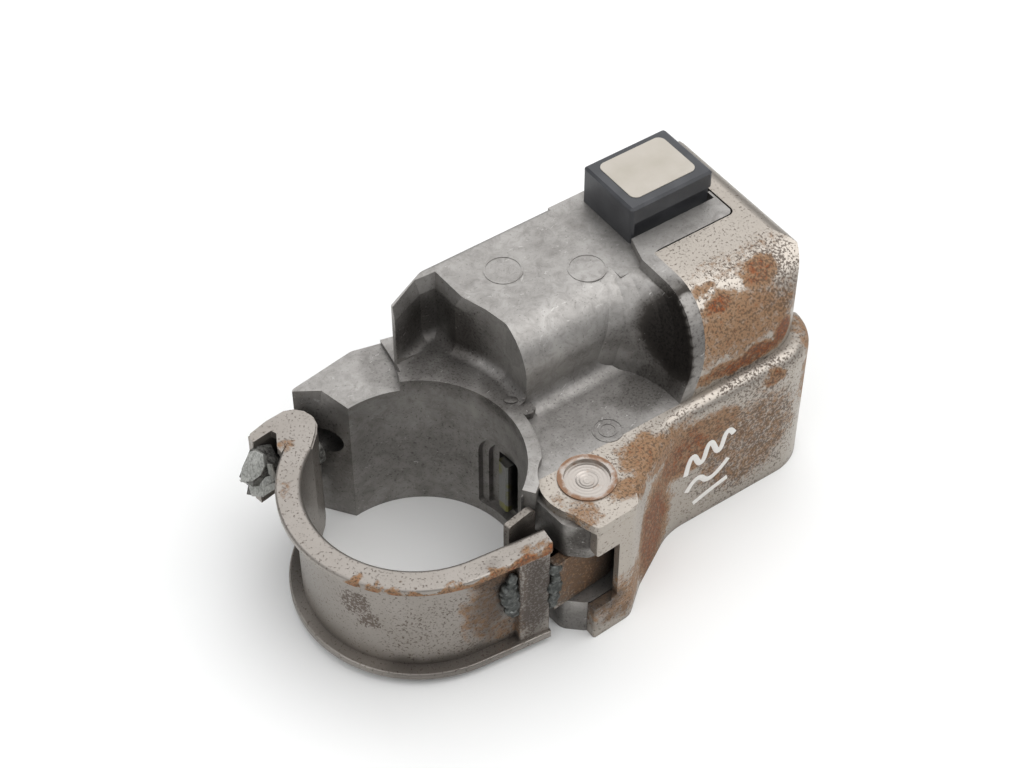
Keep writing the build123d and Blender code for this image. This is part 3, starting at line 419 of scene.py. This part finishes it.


# Cover: deep-drawn steel, zinc plated to a warm light grey. Its plating has failed on the side and
# the skirt, where orange-brown rust runs and small black pits show; the brow and the top stay bright.
# Low by its ear it is darkened by grime and painted shade, and painted shade darkens its tight
# corners.
def rusty_steel(name, plating, worn, rust, pitting, freckled, grime_and_shade=()):
    # Rust, pitting, and grime with painted shade, are patches. Freckled is how thickly dark specks
    # lie everywhere, 0 to 1.
    material, tree = new_material(name)
    place = object_place(tree)
    loose = wander(tree, place, 5, 5)
    film = patches(tree, loose, rust)
    pocked = patches(tree, loose, pitting)
    cloud = noise(tree, place, 9, 6.0, 0.6)
    bloom = noise(tree, place, 1.4, 9.0, 0.76)
    speck = noise(tree, place, 0.5, 4.0, 0.6)
    base = blend(tree, cloud, colour(plating), colour(worn))
    spread = ramp(tree, bloom, 0.3, 0.7, -0.42, 0.42, clamp=False)
    spread = compute(tree, "ADD", film, spread)
    veil = ramp(tree, spread, 0.1, 0.62, interpolation_type="SMOOTHSTEP")
    veil = compute(tree, "MULTIPLY", veil, ramp(tree, film, 0.02, 0.2))
    crust = ramp(tree, spread, 0.72, 1.1, interpolation_type="SMOOTHSTEP")
    tan = blend(tree, cloud, colour("#a68158"), colour("#95683c"))
    grit = ramp(tree, speck, 0.35, 0.65, 0.55, 0.0)
    tan = blend(tree, grit, tan, colour("#74502e"))
    cover_up = compute(tree, "MULTIPLY", veil, 0.86)
    mixed = blend(tree, cover_up, base, tan)
    mixed = blend(tree, crust, mixed, colour("#87491f"))
    crowd = compute(tree, "MAXIMUM", film, pocked)
    crowd = compute(tree, "ADD", crowd, freckled)
    crowd = compute(tree, "MULTIPLY_ADD", crowd, 0.13, speck)
    pits = ramp(tree, crowd, 0.59, 0.68, 0.0, 0.75)
    mixed = blend(tree, pits, mixed, colour("#4a382a"))
    # Painted shade: darker into tight corners, judged by ambient occlusion
    corner_shade = hollows(tree, 5)
    corner_shade = ramp(tree, corner_shade, 0.2, 0.8, 0.6, 0.0)
    mixed = blend(tree, corner_shade, mixed, colour("#37302a"))
    # Patches that are partly grime and partly painted shade darken the metal
    if grime_and_shade:
        dirt_and_shade = patches(tree, loose, grime_and_shade)
        mixed = blend(tree, dirt_and_shade, mixed, colour("#2f2925"))
    dull = compute(tree, "MAXIMUM", veil, pits)
    metal = ramp(tree, dull, 0.0, 1.0, 0.8, 0.15)
    rough = ramp(tree, dull, 0.0, 1.0, 0.36, 0.7)
    height = compute(tree, "MULTIPLY_ADD", pits, -1.0, veil)
    bumps = bump(tree, height, 0.45, 0.1)
    inputs = {"Base Color": mixed, "Metallic": metal, "Roughness": rough, "Normal": bumps}
    close_material(tree, inputs)
    return material


cover_rust = [
    ((67, -16, 36.5), (14, 4, 2.4), 1.0),
    ((76, -15, 38.5), (3, 4, 4), 1.1),
    ((66, -12, 43), (17, 6, 8), 0.66),
    ((63, -9, 48.5), (6, 4, 2.4), 0.95),
    ((74, -8.5, 49.5), (5, 3, 3), 0.9),
    ((61.5, -6.8, 51), (3.5, 1.6, 1), 0.6),
    ((72, -4.5, 51.5), (13, 4, 2), 0.2),
    ((72, -19.2, 30.5), (3, 3, 2.2), 0.95),
    ((50, -21, 23), (12, 5, 8), 0.9),
    ((56, -19.5, 26), (11, 3, 5), 0.7),
    ((62, -19.5, 22), (6, 3, 8), 0.5),
    ((40, -25, 12), (9, 8, 16), 0.95),
    ((42, -22, 31), (12, 5, 4), 0.6),
    ((66, -19.5, 16), (14, 3, 14), 0.42),
    ((37, -22, 33.5), (6, 5, 2), 0.7),
    ((31, -27, 33), (6, 3, 3), 0.65),
    ((19, -27, 33), (4, 4, 3), 0.45),
    ((16.5, -22, 33), (1.6, 3, 2), 0.25),
    ((26, -29, 8), (12, 6, 8), 0.5),
    ((84, -14, 25), (6, 8, 12), 0.5),
]
cover_pitting = [
    ((77, -10, 46), (7, 9, 9), 0.9),
    ((74, -5, 51), (11, 4, 3), 0.5),
    ((68, -18, 32), (12, 4, 4), 0.75),
    ((66, -19.5, 16), (15, 3, 16), 1.0),
    ((45, -22, 33), (18, 6, 3), 0.6),
]
# Partly grime and partly painted shade, low on the cover by its ear and the hinge
cover_grime_and_shade = [
    ((21, -29, 9), (7, 5, 4), 0.75),
    ((30, -22, 20), (5, 6, 9), 0.7),
    ((22, -30, 4), (8, 4, 3), 0.4),
]
cover_steel = rusty_steel(
    "zinc-plated steel with rust", "#b3aba1", "#a09990", cover_rust, cover_pitting, 0.1, cover_grime_and_shade
)
give("cover", cover_steel)


# Marks on the skirt: white paint pen, put on in the yard. These are plain strokes that say nothing,
# each a low bead of paint, thicker in its middle, with rounded ends.
paint, tree = new_material("dried white paint")
place = object_place(tree)
drag = noise(tree, place, 0.8, 5.0, 0.7)
tone = blend(tree, drag, colour("#d8d5cf"), colour("#f4f2ee"))
bumps = bump(tree, drag, 0.3, 0.05)
close_material(tree, {"Base Color": tone, "Roughness": 0.45, "Normal": bumps})

skirt_face = -19.2 * mm
stroke_radius = 0.68 * mm
stroke_flatness = 0.2
pen_strokes = [
    [
        (50.6, 15.2),
        (51.6, 22.6),
        (54.6, 14.8),
        (56.2, 23.6),
        (59.0, 15.6),
        (60.6, 24.2),
        (62.4, 20.6),
    ],
    [(51.2, 9.8), (53.6, 14.2), (57.2, 8.6), (61.6, 13.6)],
    [(53.2, 5.0), (56.8, 6.4), (61.8, 7.6)],
]
strokes = []
for points in pen_strokes:
    line = bpy.data.curves.new("pen_line", "CURVE")
    line.dimensions = "3D"
    line.bevel_depth = stroke_radius
    line.bevel_resolution = 3
    line.use_fill_caps = True
    track = line.splines.new("NURBS")
    track.points.add(len(points) - 1)
    for point, (x, z) in zip(track.points, points):
        point.co = (x * mm, 0, z * mm, 1)
    track.use_endpoint_u = True
    track.order_u = 3
    stroke = bpy.data.objects.new("stroke", line)
    bpy.context.scene.collection.objects.link(stroke)
    bpy.ops.object.select_all(action="DESELECT")
    stroke.select_set(True)
    bpy.context.view_layer.objects.active = stroke
    bpy.ops.object.convert(target="MESH")
    stroke.scale = (1, stroke_flatness, 1)
    stroke.location = (0, skirt_face, 0)
    strokes.append(bpy.context.object)
finish_piece(join_pieces(strokes), "paint_marks", paint, "housing")


# Rivet: a steel pin, upset with a dished head that the tool left with fine rings, and rusty round
# its edge. The two pins behind the cover are of the same steel.
pin_steel, tree = new_material("upset rivet steel")
place = object_place(tree)
pin_axis_moved = (-24.7 * mm, 20.6 * mm, 0)
flattened = {"Vector": place, "Location": pin_axis_moved, "Scale": (1, 1, 0)}
axis = add(tree, "Mapping", flattened).outputs[0]
radius = add(tree, "VectorMath", {0: axis}, operation="LENGTH").outputs["Value"]
ring_pitch = 0.7 * mm
rings = compute(tree, "MULTIPLY", radius, 2 * math.pi / ring_pitch)
rings = compute(tree, "SINE", rings)
stain = noise(tree, place, 2.2, 7.0, 0.7)
edge = ramp(tree, radius, 4.2 * mm, 5.4 * mm, 0.0, 0.3)
stain = compute(tree, "ADD", stain, edge)
stain = ramp(tree, stain, 0.58, 0.8, 0.0, 0.85)
tone = blend(tree, stain, colour("#a8a19a"), colour("#8a6446"))
rough = ramp(tree, stain, 0.0, 1.0, 0.3, 0.65)
bumps = bump(tree, rings, 0.25, 0.06)
close_material(tree, {"Base Color": tone, "Metallic": 0.8, "Roughness": rough, "Normal": bumps})
give("hinge_pin", pin_steel)
give("cover_pins", pin_steel)


# Clamp band: pressed channel of plated sheet steel. Rust has started along its cut upper edge and by
# the welds; the outside is scratched and pitted, the inside is smooth and still bright. By the welds
# and along its foot it is darkened by grime and painted shade, and painted shade darkens its corners.
# The plate under its tail and the hinge strap are cut from such sheet too, and the strap is the
# rustier.
band_rust = [
    ((7, -28.3, 29.6), (9, 0.9, 1.8), 0.95),
    ((-4, -27.4, 29.5), (7, 0.9, 1.6), 0.9),
    ((-2, -24.5, 16), (5, 3, 12), 0.42),
    ((8, -26.6, 29.2), (5, 1.6, 1.6), 0.5),
    ((0, -24.6, 25), (6, 3, 4), 0.6),
    ((2, -25, 8), (6, 3, 5), 0.35),
    ((-16, 22, 30.4), (2, 2, 1.2), 0.4),
    ((-22, 12, 30.4), (1.2, 3, 1), 0.3),
]
rim_radius = 26.7
rim_height = 29.3
rim_spot = (3.2, 1.6, 1.0)
for turn in range(-150, -95, 9):
    x = rim_radius * math.cos(math.radians(turn))
    y = rim_radius * math.sin(math.radians(turn))
    band_rust.append(((x, y, rim_height), rim_spot, 0.78))
band_pitting = [
    ((-21, -10, 19), (2, 4, 3.5), 1.3),
    ((-19.5, -13, 15), (2, 3, 2.5), 1.3),
    ((-14, -20, 12), (12, 7, 9), 0.35),
    ((-2, -24, 9), (14, 4, 7), 0.45),
    ((-8, -23, 20), (5, 3, 3), 0.5),
    ((1, -25, 24), (6, 3, 5), 1.0),
    ((8, -26.5, 16), (5, 2, 14), 1.5),
]
# Partly grime and partly painted shade: by the welds and along the band's foot
band_grime_and_shade = [
    ((9, -26.6, 16), (4, 2, 13), 0.55),
    ((0, -25, 17), (6, 3, 13), 0.6),
    ((-10, -22, 3), (22, 8, 2.5), 0.35),
]
band_steel = rusty_steel(
    "plated sheet steel", "#9f9993", "#8b857d", band_rust, band_pitting, 0.05, band_grime_and_shade
)
give("clamp_band", band_steel)
give("joint_plate", band_steel)
strap_rust = [((21, -26, 18), (11, 4, 12), 0.62)]
strap_pitting = [((20, -26, 16), (12, 6, 12), 1.3)]
# Partly grime and partly painted shade, deepest in the neck under the cover's ear
strap_grime_and_shade = [((9, -18, 28), (6, 5, 8), 0.6), ((26, -22, 16), (6, 6, 12), 0.7)]
strap_steel = rusty_steel(
    "plated strap steel", "#a09a92", "#857e76", strap_rust, strap_pitting, 0.3, strap_grime_and_shade
)
give("hinge_strap", strap_steel)


# Welds: two short fillet runs laid by hand, each a row of overlapping puddles with a drooping foot.
# They are slate grey from the heat, and paler on their sharpest humps.
weld_metal, tree = new_material("slag-covered weld metal")
place = object_place(tree)
lumps = noise(tree, place, 0.9, 7.0, 0.7)
tone = ramp(tree, lumps, 0.4, 0.66)
tone = blend(tree, tone, colour("#292b29"), colour("#585b57"))
# Paler on the sharpest humps, judged by the mesh's pointiness
humps = add(tree, "NewGeometry").outputs["Pointiness"]
humps = ramp(tree, humps, 0.52, 0.6)
tone = blend(tree, humps, tone, colour("#8f928f"))
bumps = bump(tree, lumps, 0.6, 0.3)
close_material(tree, {"Base Color": tone, "Metallic": 0.35, "Roughness": 0.34, "Normal": bumps})

puddle_grain = bpy.data.textures.new("puddles", "CLOUDS")
puddle_grain.noise_scale = 1.3 * mm
puddle_grain.noise_depth = 3


def puddle_row(puddles, name):
    # Puddles given by middle and half sizes in millimetres, melted into one lumpy run
    row = []
    for middle, half in puddles:
        spot = [value * mm for value in middle]
        bpy.ops.object.select_all(action="DESELECT")
        bpy.ops.mesh.primitive_ico_sphere_add(subdivisions=3, radius=mm, location=spot)
        bpy.ops.transform.resize(value=half)
        row.append(bpy.context.object)
    run = join_pieces(row)
    bpy.ops.object.transform_apply(location=True, rotation=True, scale=True)
    melt = run.modifiers.new("melt", "REMESH")
    melt.mode = "VOXEL"
    melt.voxel_size = 0.22 * mm
    ripple = run.modifiers.new("ripple", "DISPLACE")
    ripple.texture = puddle_grain
    ripple.texture_coords = "GLOBAL"
    ripple.strength = 1.1 * mm
    ripple.mid_level = 0.5
    settle = run.modifiers.new("settle", "SMOOTH")
    settle.iterations = 2
    for step in ("melt", "ripple", "settle"):
        bpy.ops.object.modifier_apply(modifier=step)
    run.name = name
    return run


first_run = puddle_row(
    [
        ((4.3, -25.0, 22.3), (1.1, 0.8, 1.7)),
        ((3.7, -25.0, 19.6), (1.9, 1.1, 1.9)),
        ((4.0, -25.1, 17.2), (2.2, 1.3, 2.2)),
        ((4.4, -25.1, 14.4), (1.9, 1.2, 2.3)),
        ((5.0, -25.0, 12.0), (1.3, 0.9, 1.6)),
    ],
    "first_run",
)
second_run = puddle_row(
    [
        ((13.0, -26.8, 21.0), (1.5, 0.9, 1.5)),
        ((13.0, -26.9, 18.6), (1.0, 1.0, 1.8)),
        ((12.8, -26.9, 16.0), (1.7, 1.2, 2.0)),
        ((12.6, -26.8, 13.2), (1.3, 1.1, 1.9)),
        ((12.6, -26.7, 10.9), (0.9, 0.8, 1.5)),
    ],
    "second_run",
)
welds = join_pieces([first_run, second_run])
finish_piece(welds, "weld_runs", weld_metal, "band")
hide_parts("weld_beads")
give("weld_beads", weld_metal)


# Break-off bolt: a steel screw whose head was torn off. The stump is coarse grey fracture, and round
# it hang thin shards, sheared smooth and still pale with zinc flake.
torn_steel, tree = new_material("torn steel")
place = object_place(tree)
lumps = noise(tree, place, 1.1, 8.0, 0.75)
tone = ramp(tree, lumps, 0.38, 0.62)
tone = blend(tree, tone, colour("#2d2b28"), colour("#8b8a85"))
bumps = bump(tree, lumps, 0.8, 0.5)
close_material(tree, {"Base Color": tone, "Metallic": 0.7, "Roughness": 0.42, "Normal": bumps})
give("shear_bolt", torn_steel)

smooth_tear, tree = new_material("sheared zinc-flaked steel")
place = object_place(tree)
drag = add(tree, "Mapping", {"Vector": place, "Scale": (1.0, 1.0, 0.2)}).outputs[0]
lines = noise(tree, drag, 0.3, 5.0, 0.6)
tone = ramp(tree, lines, 0.35, 0.65)
tone = blend(tree, tone, colour("#83847f"), colour("#bdbdb8"))
bumps = bump(tree, lines, 0.5, 0.1)
close_material(tree, {"Base Color": tone, "Metallic": 0.6, "Roughness": 0.45, "Normal": bumps})

torn_plates = [
    (
        [
            (-22.3, 25.0, 29.0),
            (-21.2, 24.3, 29.6),
            (-20.3, 23.0, 28.9),
            (-20.6, 22.0, 27.0),
            (-22.0, 21.7, 25.2),
            (-23.6, 22.4, 23.9),
            (-25.4, 23.9, 23.4),
            (-24.4, 24.6, 26.2),
        ],
        (0.6, 0.5, -0.5),
    ),
    (
        [
            (-24.9, 25.6, 22.3),
            (-23.4, 24.1, 22.5),
            (-21.0, 22.6, 23.2),
            (-18.6, 21.4, 23.8),
            (-18.4, 21.0, 22.9),
            (-21.4, 21.6, 21.8),
            (-23.2, 23.2, 21.4),
        ],
        (0.2, 0.2, -0.6),
    ),
    (
        [
            (-23.4, 24.9, 20.4),
            (-21.2, 22.8, 21.0),
            (-18.8, 21.4, 21.6),
            (-18.8, 21.0, 20.4),
            (-22.0, 21.8, 18.7),
            (-23.6, 23.6, 18.3),
        ],
        (0.4, 0.4, -0.5),
    ),
    (
        [
            (-20.4, 21.6, 27.6),
            (-19.4, 21.3, 27.0),
            (-19.0, 21.0, 24.2),
            (-19.6, 20.9, 23.4),
            (-20.5, 21.2, 25.2),
        ],
        (0.35, 0.3, -0.2),
    ),
]
shards = []
for outline, thickness in torn_plates:
    draw_face(outline)
    shard = raise_face(thickness)
    crease = shard.modifiers.new("crease", "BEVEL")
    crease.width = 0.14 * mm
    crease.segments = 2
    bpy.ops.object.modifier_apply(modifier="crease")
    shards.append(shard)
finish_piece(join_pieces(shards), "torn_shards", smooth_tear, "band")


# Lock bolt, axle, clip, spring, worm and shaft: hardened steel, ground bright and greased. The
# grease has gone yellow-green and has gathered on the end of the bolt.
ground_steel, tree = new_material("ground steel")
place = object_place(tree)
grind = add(tree, "Mapping", {"Vector": place, "Scale": (0.1, 1.0, 1.0)}).outputs[0]
lines = noise(tree, grind, 0.3, 2.0)
tone = blend(tree, lines, colour("#6f6f6d"), colour("#8e8e8b"))
grease_spots = [
    ((21.3, 3.6, 16.6), (1.4, 1.4, 2.2), 1.0),
    ((21.3, 1.4, 5.6), (1.4, 2.4, 1.2), 1.0),
    ((21.3, 0, 11), (1.2, 1, 3), 0.8),
]
grease = patches(tree, wander(tree, place, 1.2, 2), grease_spots)
tone = blend(tree, grease, tone, colour("#7b7a48"))
bumps = bump(tree, lines, 0.3, 0.03)
close_material(tree, {"Base Color": tone, "Metallic": 1.0, "Roughness": 0.3, "Normal": bumps})
for name in ("lock_bolt", "wheel_axle", "retaining_clip", "bolt_spring", "worm", "motor_shaft"):
    give(name, ground_steel)


# Connector: black glass-filled nylon with a fine spark texture. Its label is a bare cream film.
# Inside, the slide, the wheel and the motor's cap are moulded in natural acetal, the board is glass
# cloth under green lacquer, and the magnets are pressed ferrite.
def moulding(name, dark, pale, grain_size, shine):
    material, tree = new_material(name)
    place = object_place(tree)
    grain = noise(tree, place, grain_size, 4.0)
    dust = noise(tree, place, 6, 5.0)
    dust = ramp(tree, dust, 0.4, 0.75)
    tone = blend(tree, dust, colour(dark), colour(pale))
    bumps = bump(tree, grain, 0.3, 0.06)
    close_material(tree, {"Base Color": tone, "Roughness": shine, "Normal": bumps})
    return material


nylon = moulding("black nylon", "#37383b", "#48494c", 0.35, 0.42)
give("connector_housing", nylon)
give("position_sensors", nylon)
film = moulding("cream label film", "#b9b2a7", "#aea79a", 0.5, 0.5)
give("connector_label", film)
acetal = moulding("natural acetal", "#ddd8c8", "#cfc9b6", 0.6, 0.35)
for name in ("bolt_slider", "worm_wheel", "motor_end_cap"):
    give(name, acetal)
solder_mask = moulding("green solder mask", "#0f4a27", "#176235", 0.8, 0.3)
give("circuit_board", solder_mask)
ferrite = moulding("sintered ferrite", "#2a2a2b", "#3a3a3b", 0.3, 0.6)
give("field_magnets", ferrite)


# Motor and contacts: a can drawn from plated sheet, an armature wound with enamelled copper, a bush
# pressed from bronze powder, and contact blades stamped from tinned brass.
def plain_metal(name, dark, pale, grain_size, shine):
    material, tree = new_material(name)
    place = object_place(tree)
    grain = noise(tree, place, grain_size, 5.0)
    tone = blend(tree, grain, colour(dark), colour(pale))
    bumps = bump(tree, grain, 0.25, 0.05)
    close_material(tree, {"Base Color": tone, "Metallic": 1.0, "Roughness": shine, "Normal": bumps})
    return material


give("motor_can", plain_metal("drawn plated steel", "#9d9d9b", "#b9b9b6", 1.2, 0.32))
give("rotor", plain_metal("enamelled copper", "#8e4a24", "#b86a37", 0.5, 0.4))
give("shaft_bush", plain_metal("sintered bronze", "#7d5c32", "#9f7843", 0.4, 0.5))
give("connector_contacts", plain_metal("tinned brass", "#b5b1a6", "#cfccc2", 0.6, 0.25))
